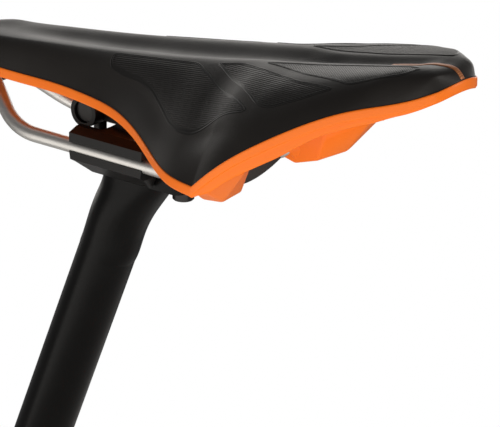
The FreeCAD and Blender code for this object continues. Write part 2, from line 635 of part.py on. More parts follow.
os.makedirs("parts", exist_ok=True)
for name, shape in NODES.items():
    shape = shape.copy()
    shape.translate(foot * -1)
    if not shape.isValid() or shape.Volume <= 0:
        print("bad shape:", name)
    shape.exportStep("parts/" + name + ".step")
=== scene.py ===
import math
import bpy
import bmesh
import numpy as np
from mathutils import Matrix, Vector


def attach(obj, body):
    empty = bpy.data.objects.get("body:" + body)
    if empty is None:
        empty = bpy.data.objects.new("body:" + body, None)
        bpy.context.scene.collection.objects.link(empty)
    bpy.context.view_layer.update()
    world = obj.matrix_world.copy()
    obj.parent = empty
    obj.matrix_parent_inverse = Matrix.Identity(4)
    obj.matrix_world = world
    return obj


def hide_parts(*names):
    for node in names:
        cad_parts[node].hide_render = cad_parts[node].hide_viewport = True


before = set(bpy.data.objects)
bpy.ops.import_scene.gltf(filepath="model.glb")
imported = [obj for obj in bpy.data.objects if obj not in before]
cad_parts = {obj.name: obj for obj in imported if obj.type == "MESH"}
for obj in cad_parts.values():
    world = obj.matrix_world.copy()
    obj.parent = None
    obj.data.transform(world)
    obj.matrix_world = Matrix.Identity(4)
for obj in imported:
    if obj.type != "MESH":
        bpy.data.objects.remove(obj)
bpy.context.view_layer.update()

# ------------------------------------------------------------ camera
# A long lens behind the saddle's left side, a little above it, aimed to the
# right of and below the point where the post's axis crosses the rails' level.
# That point is the zero of the drawing frame, which is in millimetres.
POST_LENGTH = 350.0
LEAN = math.radians(21.6)
FOOT = np.array([math.sin(LEAN), 0.0, -math.cos(LEAN)]) * POST_LENGTH
CAMERA_AWAY = 1.5
AIM_RIGHT, AIM_DOWN = 0.0475, 0.0311


def to_part(points):
    """Millimetres in the drawing frame (X to the nose, Y to the rider's left, Z up) to
    metres in the part's frame: (point - foot) / 1000."""
    return (np.asarray(points, float) - FOOT) / 1000.0


psi, rise, roll = math.radians(40.0), math.radians(19.0), math.radians(0.4)
toward = Vector((-math.sin(psi) * math.cos(rise), math.cos(psi) * math.cos(rise), math.sin(rise)))
right = Vector((-math.cos(psi), -math.sin(psi), 0.0))
up = toward.cross(right)
turn = Matrix.Rotation(roll, 3, toward)
right, up = turn @ right, turn @ up
rail_origin = Vector(to_part([0.0, 0.0, 0.0]))
eye = rail_origin + toward * CAMERA_AWAY
aim = rail_origin + right * AIM_RIGHT - up * AIM_DOWN
back = (eye - aim).normalized()
side = up.cross(back).normalized()
tall = back.cross(side)
cam = bpy.data.objects.new("camera", bpy.data.cameras.new("camera"))
bpy.context.collection.objects.link(cam)
cam.data.sensor_width = 36.0
cam.data.lens = 237.8
cam.matrix_world = Matrix(((side.x, tall.x, back.x, eye.x), (side.y, tall.y, back.y, eye.y),
                           (side.z, tall.z, back.z, eye.z), (0, 0, 0, 1)))
bpy.context.scene.camera = cam
bpy.context.scene.view_settings.view_transform = "Standard"

# ------------------------------------------------------------ lamps
# A narrow box overhead, a broad low one on the camera's side, one beyond the
# saddle that draws a light edge along its top, and a strip behind the tail.
# Each has its place, width and height in metres, and its power in watts.
WARM_WHITE = (1.0, 0.965, 0.92)
beyond = Vector((math.sin(psi), -math.cos(psi), 0.0))
lamps = (("overhead", beyond * 0.55 + Vector((0.1, 0.0, 1.35)), (1.6, 0.22), 0.9),
         ("low_front", toward * 0.75 + Vector((0.12, 0.0, -0.2)), (2.4, 1.1), 12.8),
         ("backdrop", beyond * 1.3 + Vector((0.0, 0.0, 0.42)), (2.6, 0.84), 12.0),
         ("tail_strip", Vector((-1.1, -0.5, 0.6)), (0.35, 0.9), 4.5))
target = rail_origin + Vector((-0.05, 0.0, 0.03))
for lamp_name, stand, size, power in lamps:
    lamp = bpy.data.lights.new(lamp_name, "AREA")
    lamp.shape, lamp.size, lamp.size_y, lamp.energy = "RECTANGLE", size[0], size[1], power
    lamp.color = WARM_WHITE
    obj = bpy.data.objects.new(lamp_name, lamp)
    bpy.context.collection.objects.link(obj)
    obj.visible_camera = False
    aimed = (stand - target).to_track_quat("Z", "Y").to_matrix().to_4x4()
    obj.matrix_world = Matrix.Translation(stand) @ aimed

# ------------------------------------------------------------ surroundings
# A pale floor under the tube's foot, and a white surround that the camera
# sees at full strength but that lights the part at SURROUND_LIGHT only.
SURROUND_LIGHT = 0.16


class Field:
    """One output socket of a node; +, - and * between Fields and numbers add Math nodes."""

    tree = None

    def __init__(self, socket):
        self.socket = socket

    @classmethod
    def node(cls, kind, inputs=(), out=0, **settings):
        """Adds a node, sets its properties and inputs, and returns one output as a Field."""
        made = cls.tree.nodes.new(kind)
        for key, value in settings.items():
            setattr(made, key, value)
        for key, value in dict(inputs).items():
            if isinstance(value, Field):
                cls.tree.links.new(value.socket, made.inputs[key])
            else:
                made.inputs[key].default_value = value
        return cls(made.outputs[out])

    def maths(self, operation, other=0.0):
        """One Math node: this field on the left of the operation, the other value on its right."""
        return Field.node("ShaderNodeMath", {0: self, 1: other}, operation=operation)

    def __add__(self, other):
        return self.maths("ADD", other)

    def __sub__(self, other):
        return self.maths("SUBTRACT", other)

    def __rsub__(self, other):
        return Field.node("ShaderNodeMath", {0: other, 1: self}, operation="SUBTRACT")

    def __mul__(self, other):
        return self.maths("MULTIPLY", other)

    __radd__ = __add__
    __rmul__ = __mul__

    def wave(self, pitch):
        """Sine wave between 0 and 1 that repeats every pitch."""
        return (self * (2.0 * math.pi / pitch)).maths("SINE") * 0.5 + 0.5

    def colour(self, one, other):
        """Mixes two colours by this field."""
        return Field.node("ShaderNodeMix", {0: self, 6: (*one, 1.0), 7: (*other, 1.0)}, 2, data_type="RGBA")


def begin(name, **values):
    """New material with a Principled surface set to values; Fields made next go in its tree."""
    made = bpy.data.materials.new(name)
    made.use_nodes = True
    Field.tree = made.node_tree
    surface = made.node_tree.nodes["Principled BSDF"]
    for key, value in values.items():
        surface.inputs[key.replace("_", " ")].default_value = value
    return made, surface


bpy.ops.mesh.primitive_circle_add(vertices=96, radius=0.38, fill_type="NGON", location=(-0.05, 0.0, -0.0052))
floor = bpy.context.object
floor.name = "floor"
pale, surface = begin("pale_floor", Base_Color=(0.86, 0.86, 0.86, 1.0), Roughness=0.8)
floor.data.materials.append(pale)

world = bpy.data.worlds.new("surround")
bpy.context.scene.world = world
world.use_nodes = True
Field.tree = world.node_tree
seen = Field.node("ShaderNodeLightPath", out="Is Camera Ray")
ground = world.node_tree.nodes["Background"]
ground.inputs["Color"].default_value = (1.0, 1.0, 1.0, 1.0)
strength = seen * (1.0 - SURROUND_LIGHT) + SURROUND_LIGHT
world.node_tree.links.new(strength.socket, ground.inputs["Strength"])

# ------------------------------------------------------------ post and clamp
# Black anodised tube and lug, machined clamp halves, blackened bolts, nuts
# and washers: satin metal with a fine grain along the turning.


def place(stretch=(1000.0, 1000.0, 1000.0)):
    """Object coordinates times stretch, so 1000 gives millimetres."""
    spot = Field.node("ShaderNodeTexCoord", out=3)
    return Field.node("ShaderNodeVectorMath", {0: spot, 1: stretch}, operation="MULTIPLY")


def noise(where, scale, detail=3.0, rough=0.5):
    """Fractal noise, 0 to 1, with features about 1 / scale across."""
    return Field.node("ShaderNodeTexNoise",
                      {"Vector": where, "Scale": scale, "Detail": detail, "Roughness": rough})


def wire(surface, bump=None, depth=0.0, **fields):
    """Joins Fields to the surface's inputs, and a height Field to its normal with a depth in millimetres."""
    for key, field in fields.items():
        Field.tree.links.new(field.socket, surface.inputs[key.replace("_", " ")])
    if bump is not None:
        made = Field.node("ShaderNodeBump", {"Height": bump, "Distance": depth / 1000.0, "Strength": 1.0})
        Field.tree.links.new(made.socket, surface.inputs["Normal"])


def dress(material, *names):
    """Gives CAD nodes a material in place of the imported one."""
    for name in names:
        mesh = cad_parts[name].data
        mesh.materials.clear()
        mesh.materials.append(material)


anodised, surface = begin("anodised", Specular_IOR_Level=0.11, Coat_Weight=0.0)
grain = noise(place((180.0, 180.0, 2600.0)), 1.0, 2.0)
cloud = noise(place(), 0.06, 3.0)
wire(surface, grain * 0.6 + noise(place(), 4.0) * 0.4, 0.012,
     Base_Color=cloud.colour((0.0022, 0.0021, 0.0020), (0.0036, 0.0034, 0.0032)),
     Roughness=grain * 0.1 + cloud * 0.08 + 0.22)
dress(anodised, "seatpost")

machined, surface = begin("machined", Specular_IOR_Level=0.2, Coat_Weight=0.0)
grain = noise(place(), 2.2, 4.0, 0.65)
cloud = noise(place(), 0.11, 3.0)
wire(surface, grain, 0.02, Base_Color=cloud.colour((0.0048, 0.0045, 0.0042), (0.0078, 0.0073, 0.0068)),
     Roughness=grain * 0.14 + cloud * 0.1 + 0.26)
dress(machined, "lower_cradle", "upper_yoke")

black_steel, surface = begin("black_steel", Metallic=0.7)
grain = noise(place(), 3.5, 3.0)
cloud = noise(place(), 0.3, 3.0)
wire(surface, grain, 0.015, Base_Color=cloud.colour((0.016, 0.015, 0.015), (0.03, 0.029, 0.028)),
     Roughness=grain * 0.12 + cloud * 0.12 + 0.24)
dress(black_steel, "washer_front", "washer_rear", "barrel_nut_front", "barrel_nut_rear", "bolt_front",
      "bolt_rear", "nose_screw")

# ------------------------------------------------------------ rails
# Two drawn steel bars, bent at both ends and gripped between the clamp
# halves. Their satin polish has fine streaks along the straight part.
bright_steel, surface = begin("bright_steel", Metallic=1.0)
streak = noise(place((28.0, 1400.0, 1400.0)), 1.0, 3.0, 0.6)
cloud = noise(place(), 0.08, 2.0)
wire(surface, streak, 0.02, Base_Color=streak.colour((0.56, 0.545, 0.52), (0.70, 0.685, 0.66)),
     Roughness=streak * 0.16 + cloud * 0.1 + 0.28)
dress(bright_steel, "rail_left", "rail_right")

# ------------------------------------------------------------ bridge and nose socket
# Matt black mouldings under the shell: one spans it between the rails, the
# other holds the rails' front ends. Their surface has a fine spark.
matt, surface = begin("matt_plastic")
spark = noise(place(), 1.6, 4.0, 0.6)
cloud = noise(place(), 0.1, 2.0)
wire(surface, spark, 0.05, Base_Color=cloud.colour((0.016, 0.015, 0.014), (0.026, 0.025, 0.023)),
     Roughness=spark * 0.2 + 0.38)
dress(matt, "rear_bridge", "nose_socket")

# ------------------------------------------------------------ cover
# Black skin moulded over the foam and glued to it: crowned each side of the
# centre channel, drawn into a gutter above the wings, and rolled in under its
# edge.

# The skin hangs on ribs: each row is a rib's left end (forward, out, up) and
# its middle (forward, crown height).
RIBS = np.array([
    (94.0, 15.5, 26.5, 108.0, 27.6), (91.0, 17.3, 26.6, 106.8, 33.4),
    (85.0, 18.6, 26.8, 102.0, 37.4), (74.0, 19.6, 27.0, 90.0, 39.1),
    (55.0, 21.0, 27.4, 66.0, 41.0), (33.0, 23.7, 28.4, 40.0, 43.5),
    (10.0, 28.2, 28.7, 14.0, 46.3), (-12.0, 35.0, 28.3, -10.0, 49.4),
    (-32.0, 44.5, 25.6, -31.0, 52.3), (-50.0, 55.2, 21.6, -50.0, 55.2),
    (-67.5, 65.1, 19.2, -67.0, 58.0), (-84.0, 69.5, 18.8, -84.0, 60.5),
    (-92.0, 68.6, 26.4, -93.0, 61.6), (-101.0, 66.1, 34.0, -103.0, 62.9),
    (-112.0, 61.8, 41.7, -115.0, 64.9), (-125.0, 54.6, 49.6, -129.0, 67.4),
    (-137.0, 46.4, 55.6, -142.0, 69.9), (-148.0, 37.6, 59.2, -154.0, 72.1),
    (-157.0, 28.8, 61.0, -162.6, 72.8), (-164.2, 20.8, 63.1, -169.2, 71.4),
    (-168.9, 14.4, 65.2, -172.6, 68.0)])
TIP = 11                      # the rib at the wing's tip
NOSE_BOW = (0.5, 0.65, 0.8)   # power of the first ribs' bow in plan; the rest have 1
CROWN_MOST = 0.62             # the crest is at most this share of the half width out
END_ARCH = 1.2                # power of the arch at the nose and the tail
TIP_SMEAR = 9.0               # the tip's corner is smoothed over this along the skin,
TIP_REACH = 45.0              # as far as this from the tip,
EDGE_REACH = 16.0             # and fully so from this far inside the edge
# By place along X: the channel's depth, the power of the flank's fall, the
# crest's distance from the middle, the lip's height and the foam's thickness.
CHANNEL = ((110.0, 0.0), (80.0, 0.6), (40.0, 2.0), (0.0, 2.7), (-60.0, 3.2),
           (-95.0, 3.0), (-120.0, 2.4), (-148.0, 2.0), (-160.0, 0.8), (-170.0, 0.0))
FLANK = ((108.0, 2.6), (40.0, 2.5), (0.0, 2.2), (-50.0, 1.8), (-66.0, 1.8), (-112.0, 3.7),
         (-135.0, 4.0), (-150.0, 3.6), (-166.0, 2.4))
CREST = ((60.0, 13.0), (-50.0, 15.5), (-85.0, 13.5), (-102.0, 9.5), (-130.0, 9.0), (-160.0, 10.5))
LIP = ((108.0, 4.8), (-82.0, 5.0), (-94.0, 9.6), (-118.0, 10.4), (-137.0, 8.0), (-150.0, 7.4),
       (-159.0, 6.0), (-177.0, 4.6))
FOAM = ((108.0, 6.0), (60.0, 9.5), (20.0, 12.0), (-60.0, 13.0), (-140.0, 10.5), (-170.0, 5.0))
# The gutter above the wings: its line (forward, out), the share of its depth
# by place, and how far it spreads to its inner and its outer side.
GUTTER = np.array([(-108.0, 67.0), (-99.0, 62.0), (-80.0, 55.6), (-68.0, 53.1), (-55.0, 48.3),
                   (-31.0, 35.9), (-7.0, 27.9), (19.0, 23.6), (50.0, 20.5)])
GUTTER_SHARE = ((50.0, 0.0), (5.0, 0.8), (-25.0, 1.0), (-78.0, 1.0), (-108.0, 0.0))
GUTTER_DEPTH = 2.0
GUTTER_INNER, GUTTER_OUTER = 2.6, 5.5
FRONT_STATIONS, REAR_STATIONS = 220, 150
ACROSS = np.sin(np.linspace(-0.5 * math.pi, 0.5 * math.pi, 141))


def eased(x, table):
    """Value of (place, value) pairs at x, with 3t^2 - 2t^3 between neighbours."""
    places, values = np.array(sorted(table)).T
    x = np.asarray(x, float)
    i = np.clip(np.searchsorted(places, x, side="right") - 1, 0, len(places) - 2)
    t = np.clip((x - places[i]) / (places[i + 1] - places[i]), 0.0, 1.0)
    return values[i] + (values[i + 1] - values[i]) * t * t * (3.0 - 2.0 * t)


def spline(knots, rows, at):
    """Natural cubic spline: second derivatives m solve h0 m0 + 2(h0+h1) m1 + h1 m2 = 6 (d1 - d0)."""
    knots, rows, at = np.asarray(knots, float), np.asarray(rows, float), np.asarray(at, float)
    n, h = len(knots), np.diff(knots)
    a, b = np.eye(n), np.zeros_like(rows)
    slope = np.diff(rows, axis=0) / h[:, None]
    for k in range(1, n - 1):
        a[k, k - 1:k + 2] = h[k - 1], 2.0 * (h[k - 1] + h[k]), h[k]
        b[k] = 6.0 * (slope[k] - slope[k - 1])
    m = np.linalg.solve(a, b)
    i = np.clip(np.searchsorted(knots, at, side="right") - 1, 0, n - 2)
    hi, p, q = h[i][:, None], (knots[i + 1] - at)[:, None], (at - knots[i])[:, None]
    return (m[i] * p ** 3 + m[i + 1] * q ** 3) / (6.0 * hi) + (rows[i] / hi - m[i] * hi / 6.0) * p \
        + (rows[i + 1] / hi - m[i + 1] * hi / 6.0) * q


# Stations run from nose to tail by the ribs' spacing; the edge line keeps
# its corner at the wing tip, and every other line is smooth through it.
span = np.concatenate([[0.0], np.cumsum(np.linalg.norm(np.diff(RIBS, axis=0), axis=1))])
front_at = np.linspace(span[0], span[TIP], FRONT_STATIONS)
rear_at = np.linspace(span[TIP], span[-1], REAR_STATIONS)
STATIONS = np.concatenate([front_at, rear_at[1:]])
edge_lines = np.concatenate([spline(span[:TIP + 1], RIBS[:TIP + 1, :3], front_at),
                             spline(span[TIP:], RIBS[TIP:, :3], rear_at[1:])])
mid_lines = spline(span, RIBS[:, 3:], STATIONS)
LINES = np.concatenate([edge_lines, mid_lines], axis=1)
smear = np.exp(-0.5 * ((STATIONS[:, None] - STATIONS[None]) / TIP_SMEAR) ** 2)
smear /= smear.sum(1, keepdims=True)
soft_edge = smear @ LINES[:, 2]
near_tip = np.exp(-((STATIONS - span[TIP]) / TIP_REACH) ** 2)
rib_number = np.interp(STATIONS, span, np.arange(len(span)))
BOW = np.interp(rib_number, np.arange(4), NOSE_BOW + (1.0,))
END = np.clip(np.maximum(1.0 - rib_number, rib_number - (len(span) - 2)), 0.0, 1.0)


def outward(x, y):
    """Unit normals (n, 2) of a plan line: (dy, -dx) over its length."""
    dx, dy = np.gradient(x), np.gradient(y)
    length = np.hypot(dx, dy)
    return np.stack([dy / length, -dx / length], 1)


EDGE_OUT = outward(LINES[:, 0], LINES[:, 1])
MID_OUT = outward(LINES[:, 3], LINES[:, 4])


def form(across, inset=0.0, edge_up=0.0, crown_up=0.0, bed=False, lip=False, gutter=0.0):
    """Grid of points, stations by across (-1 to 1).

    x = xe + (xm - xe)(1 - v^2)^bow, y = ye v, z = ze + (zc - ze)(1 - t^p) - channel,
    with t = (|v| - vk) / (1 - vk) beyond the crest. A gutter of that depth is drawn
    along the wing, gutter * share(x) * exp(-((y - yg) / w)^2).
    """
    v = np.asarray(across, float)[None]
    xe = (LINES[:, 0] - EDGE_OUT[:, 0] * inset)[:, None]
    ye = (LINES[:, 1] - EDGE_OUT[:, 1] * inset)[:, None]
    xm = (LINES[:, 3] - MID_OUT[:, 0] * inset)[:, None]
    x = xe + (xm - xe) * np.clip(1.0 - v * v, 0.0, 1.0) ** BOW[:, None]
    drop = eased(LINES[:, 0], LIP) if lip else 0.0
    ze = (LINES[:, 2] + edge_up - drop)[:, None]
    soft = (soft_edge + edge_up - drop)[:, None]
    away = np.clip((1.0 - abs(v)) * ye / EDGE_REACH, 0.0, 1.0)
    away = away * away * (3.0 - 2.0 * away) * near_tip[:, None]
    ze = ze + (soft - ze) * away
    crown = (LINES[:, 4] + crown_up)[:, None]
    if bed:
        crown = np.maximum(crown - eased(LINES[:, 3], FOAM)[:, None], ze)
    vk = np.minimum(eased(LINES[:, 3], CREST)[:, None] / ye, CROWN_MOST)
    t = np.clip((abs(v) - vk) / (1.0 - vk), 0.0, 1.0)
    z = ze + (crown - ze) * (1.0 - t ** eased(LINES[:, 3], FLANK)[:, None])
    if not bed:
        middle = np.clip(1.0 - abs(v) / vk, 0.0, 1.0)
        z = z - eased(LINES[:, 3], CHANNEL)[:, None] * np.sin(0.5 * math.pi * middle) ** 2
    if gutter:
        along = np.clip(x, GUTTER[0, 0], GUTTER[-1, 0]).ravel()
        off = abs(ye * v) - spline(GUTTER[:, 0], GUTTER[:, 1:], along).reshape(x.shape)
        spread = np.where(off < 0.0, GUTTER_INNER, GUTTER_OUTER)
        z = z - gutter * eased(x, GUTTER_SHARE) * np.exp(-(off / spread) ** 2)
    edge, arch = (LINES[:, 2] + edge_up - drop)[:, None], (LINES[:, 4] - LINES[:, 2])[:, None]
    end = edge + arch * (1.0 - v * v) ** END_ARCH
    z = z + (end - z) * END[:, None]
    return np.stack([x, ye * v, z], -1)


def rim_of(grid):
    """The grid's border as one closed loop: nose, left edge, tail, right edge."""
    return np.concatenate([grid[0, :-1], grid[:-1, -1], grid[-1, :0:-1], grid[:0:-1, 0]])


def new_object(name, vertices, faces):
    """Smooth mesh object at the origin from millimetre points and lists of vertex numbers."""
    mesh = bpy.data.meshes.new(name)
    mesh.from_pydata(to_part(vertices).tolist(), [], faces)
    mesh.validate()
    mesh.polygons.foreach_set("use_smooth", [True] * len(mesh.polygons))
    obj = bpy.data.objects.new(name, mesh)
    bpy.context.collection.objects.link(obj)
    return obj


def outward_normals(obj):
    """Turns all faces of a closed mesh to the outside."""
    bm = bmesh.new()
    bm.from_mesh(obj.data)
    bmesh.ops.recalc_face_normals(bm, faces=bm.faces)
    bm.to_mesh(obj.data)
    bm.free()


def band(one, other):
    """Quads between two closed loops of vertex numbers: each two neighbours with the two across."""
    return np.stack([one, np.roll(one, -1), np.roll(other, -1), other], 1)


def layered(name, top, loops, bottom):
    """Closed mesh: top grid, loops that follow its border, bottom grid, each joined to the next."""
    n, m = top.shape[:2]
    number = np.arange(n * m).reshape(n, m)
    border = rim_of(number[:, :, None])[:, 0]
    points = [top.reshape(-1, 3)] + loops + [bottom.reshape(-1, 3)]
    starts = np.cumsum([0] + [len(p) for p in points])
    quads = np.stack([number[:-1, :-1], number[:-1, 1:], number[1:, 1:], number[1:, :-1]], -1)
    quads = quads.reshape(-1, 4)
    faces = [quads, quads[:, ::-1] + starts[-2]]
    rings = [border] + [start + np.arange(len(border)) for start in starts[1:-2]] + [border + starts[-2]]
    faces += [band(one, other) for one, other in zip(rings, rings[1:])]
    obj = new_object(name, np.concatenate(points), np.concatenate(faces).tolist())
    outward_normals(obj)
    return obj


SKIN = form(ACROSS, gutter=GUTTER_DEPTH)


def skin_z(x, y):
    """Height of the skin over plan points: the station is moved by nine tenths of the miss
    in x, twelve times over, and the grid is then read between its four nearest points."""
    x, y = np.asarray(x, float), np.asarray(y, float)
    at = np.interp(-x, -LINES[:, 3], STATIONS)
    for _ in range(12):
        ye = np.interp(at, STATIONS, LINES[:, 1])
        v = np.clip(y / ye, -1.0, 1.0)
        xe, xm = np.interp(at, STATIONS, LINES[:, 0]), np.interp(at, STATIONS, LINES[:, 3])
        here = xe + (xm - xe) * np.clip(1.0 - v * v, 0.0, 1.0) ** np.interp(at, STATIONS, BOW)
        at = np.clip(at + (here - x) * 0.9, STATIONS[0], STATIONS[-1])
    share = np.clip(y / np.interp(at, STATIONS, LINES[:, 1]), -1.0, 1.0)
    row = np.interp(at, STATIONS, np.arange(len(STATIONS)))
    col = np.interp(share, ACROSS, np.arange(len(ACROSS)))
    i, j = np.clip(row.astype(int), 0, len(STATIONS) - 2), np.clip(col.astype(int), 0, len(ACROSS) - 2)
    a, b = row - i, col - j
    z = SKIN[..., 2]
    return (z[i, j] * (1 - a) * (1 - b) + z[i + 1, j] * a * (1 - b) + z[i, j + 1] * (1 - a) * b
            + z[i + 1, j + 1] * a * b)


rolled = [rim_of(form(ACROSS, inset=i, edge_up=d)) for i, d in ((0.12, -0.25), (0.5, -0.5), (1.3, -0.55))]
lining = form(ACROSS, inset=1.8, edge_up=-0.3, crown_up=-1.8, gutter=GUTTER_DEPTH)
cover = layered("cover_skin", SKIN, rolled, lining)
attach(cover, "saddle")
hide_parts("cover", "padding")
leather, surface = begin("cover_skin", Specular_IOR_Level=0.27)
pores = Field.node("ShaderNodeTexVoronoi", {"Vector": place(), "Scale": 1.5}, feature="SMOOTH_F1")
grain = noise(place(), 2.4, 4.0, 0.6)
cloud = noise(place(), 0.05, 3.0)
wire(surface, grain * 0.6 - pores * 0.5, 0.05,
     Base_Color=cloud.colour((0.0118, 0.0100, 0.0089), (0.0165, 0.0142, 0.0126)),
     Roughness=grain * 0.12 + cloud * 0.1 + 0.32)
cover.data.materials.append(leather)

# ------------------------------------------------------------ shell
# One moulding of orange plastic: a rounded lip round the cover, with a stepped
# skirt behind the wings, and a thin arched pan under the foam.
FACE_MOST = 4.8               # the lip's face is no higher than this, less FACE_SHORT
FACE_SHORT = 0.3
STEP_FROM, STEP_OVER = 4.9, 3.0   # lip height at which the step begins, and over which it grows
lip_high = rim_of(np.repeat(eased(LINES[:, 0], LIP)[:, None], len(ACROSS), 1)[..., None])[:, 0]
upper = np.minimum(lip_high, FACE_MOST) - FACE_SHORT
lower = lip_high - upper
step = np.clip((lip_high - STEP_FROM) / STEP_OVER, 0.0, 1.0)


def lip_ring(inset, down):
    """Loop along the cover's edge: edge + (the line 1 mm in - edge) * inset, lowered by down."""
    ring = rim_of(form(ACROSS))
    wide = rim_of(form(ACROSS, inset=1.0))
    ring = ring + (wide - ring) * np.broadcast_to(np.asarray(inset, float), lip_high.shape)[:, None]
    ring[:, 2] -= down
    return ring


# From the cover's edge over the lip's round top, down its face, in at the
# step, down the skirt and under it: how far in, and how far down.
loops = [lip_ring(i, d) for i, d in (
    (1.6, 0.75), (0.4, 0.7), (0.1, 0.42), (-0.12, 0.16), (-0.38, 0.08), (-0.64, 0.2), (-0.8, 0.5),
    (-0.86, 1.1))]
loops += [lip_ring(-0.86, upper * share) for share in (0.45, 0.7, 0.88)]
loops += [lip_ring(-0.78, upper * 0.96), lip_ring(-0.6 + 0.15 * step, upper),
          lip_ring(-0.5 + 0.5 * step, upper + 0.12)]
loops += [lip_ring(-0.45 + 0.42 * step, upper + 0.2 * lower),
          lip_ring(-0.42 + 0.4 * step, upper + 0.7 * lower),
          lip_ring(-0.3 + 0.42 * step, upper + 0.88 * lower), lip_ring(0.1 + 0.4 * step, lip_high),
          lip_ring(1.4, lip_high + 0.02), lip_ring(2.8, lip_high)]
pan = layered("shell_pan", form(ACROSS, inset=4.2, edge_up=-0.8, crown_up=-1.9, bed=True), loops,
              form(ACROSS, inset=3.2, edge_up=0.35, crown_up=-4.9, bed=True, lip=True))
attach(pan, "saddle")
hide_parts("shell")
orange, surface = begin("orange_plastic", Specular_IOR_Level=0.22, Coat_Weight=0.04, Coat_Roughness=0.15)
grain = noise(place(), 1.2, 3.0)
cloud = noise(place(), 0.05, 3.0)
wire(surface, grain, 0.018, Base_Color=cloud.colour((0.97, 0.182, 0.010), (1.0, 0.214, 0.016)),
     Roughness=grain * 0.1 + cloud * 0.08 + 0.3)
pan.data.materials.append(orange)

# ------------------------------------------------------------ rail sockets
# A faceted block under each wing, part of the orange moulding, whose walls
# run up into the pan, and a round boss on the rail's end.

# The block's LOW lower corners come first, then those that its walls start
# from. The walls lean to the ROOF points and stop SKIN_TO_BLOCK under the skin.
BLOCK = np.array([
    (-64.5, 27.0, -1.3), (-77.5, 27.0, 3.0), (-81.0, 44.5, 3.65), (-69.5, 44.5, 2.4),
    (-51.0, 23.5, 4.0), (-81.0, 26.5, 14.0), (-93.0, 45.0, 20.0), (-87.0, 64.3, 17.5),
    (-84.0, 65.0, 15.5), (-71.0, 61.5, 16.5), (-60.0, 45.0, 12.0)])
LOW = 4
ROOF = np.array([
    (-52.0, 23.0, 62.0), (-90.0, 26.0, 62.0), (-100.0, 45.0, 62.0), (-92.0, 62.5, 62.0),
    (-84.0, 64.6, 62.0), (-71.0, 61.0, 62.0), (-58.0, 45.0, 62.0)])
BLOCK_FACES = [(0, 3, 2, 1), (0, 1, 5, 4), (1, 2, 6, 5), (2, 8, 7, 6), (2, 3, 9, 8), (3, 10, 9),
               (3, 0, 4, 10)]
SKIN_TO_BLOCK = 5.0
BEVEL = 0.0012
rise_to = np.linspace(0.0, 1.0, 200)[:, None, None]
columns = BLOCK[LOW:] + (ROOF - BLOCK[LOW:]) * rise_to
skin_over = skin_z(columns[..., 0].ravel(), columns[..., 1].ravel()).reshape(columns.shape[:2])
stop = np.argmax(columns[..., 2] > skin_over - SKIN_TO_BLOCK, axis=0)
tops = columns[stop, np.arange(len(ROOF))]
top_loop = len(BLOCK) + np.arange(len(ROOF))
wall_faces = band(LOW + np.arange(len(ROOF)), top_loop).tolist()
SIDES = ((1, "left"), (-1, "right"))

# The boss lies round the rail's rear run: each row is how far from the tail
# towards the bend, and the radius there.
RAIL_BEND, RAIL_TAIL = np.array([-50.0, 22.0, 0.0]), np.array([-75.0, 35.5, 12.5])
BOSS = ((17.0, 3.56), (17.0, 4.9), (16.7, 5.4), (16.0, 5.6), (0.0, 5.75), (-1.0, 5.6), (-1.6, 4.8))
BOSS_SIDES = 48
boss_loops = np.arange(len(BOSS) * BOSS_SIDES).reshape(len(BOSS), BOSS_SIDES)
boss_faces = np.concatenate([band(one, other) for one, other in zip(boss_loops, np.roll(boss_loops, -1, 0))])


def orange_piece(obj):
    """Gives a piece of the shell its plastic, and lets it ride on the saddle."""
    obj.data.materials.append(orange)
    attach(obj, "saddle")


for way, side_name in SIDES:
    along = (RAIL_BEND - RAIL_TAIL) * (1, way, 1)
    along /= np.linalg.norm(along)
    across_one = np.cross(along, (0.0, 0.0, 1.0))
    across_one /= np.linalg.norm(across_one)
    across_two = np.cross(along, across_one)
    angle = np.linspace(0.0, 2.0 * math.pi, BOSS_SIDES, endpoint=False)[:, None]
    round_way = np.cos(angle) * across_one + np.sin(angle) * across_two
    rings = [RAIL_TAIL * (1, way, 1) + along * out + round_way * radius for out, radius in BOSS]
    boss = new_object("rail_boss_" + side_name, np.concatenate(rings), boss_faces.tolist())
    outward_normals(boss)
    orange_piece(boss)
    corners = np.concatenate([BLOCK, tops]) * (1, way, 1)
    block = new_object("socket_" + side_name, corners, BLOCK_FACES + wall_faces + [top_loop.tolist()])
    outward_normals(block)
    bm = bmesh.new()
    bm.from_mesh(block.data)
    bmesh.ops.bevel(bm, geom=list(bm.edges), offset=BEVEL, segments=3, profile=0.5, affect="EDGES",
                    clamp_overlap=True)
    bm.to_mesh(block.data)
    bm.free()
    block.data.set_sharp_from_angle(angle=math.radians(30.0))
    orange_piece(block)

# ------------------------------------------------------------ grips
# Thin ribbed pads of rubber, moulded on the skin, each with a bead round its
# border. The rib attribute is the distance across the ribs, in millimetres,
# and the field attribute is 1 inside the bead.
GRIPS = {
    "front": [(4.0, 16.8), (2.5, 23.0), (-8.3, 26.3), (-20.9, 29.5), (-30.9, 33.5), (-42.3, 40.3),
              (-51.9, 46.5), (-60.0, 50.5), (-68.4, 52.7), (-75.8, 52.9), (-85.7, 51.8), (-97.0, 53.0),
              (-98.6, 51.4), (-72.6, 35.9), (-47.1, 20.2), (-23.4, 18.6)],
    "mid": [(-57.0, 20.0), (-103.0, 50.7), (-109.9, 51.9), (-122.6, 46.3), (-134.8, 38.0),
            (-113.8, 35.1), (-71.6, 18.4)],
    "rear": [(-80.0, 16.0), (-97.4, 21.8), (-112.2, 28.3), (-138.0, 35.0), (-141.1, 33.4),
             (-156.9, 21.3), (-160.0, 11.8), (-155.5, 10.2), (-124.4, 10.4), (-95.0, 12.6)]}
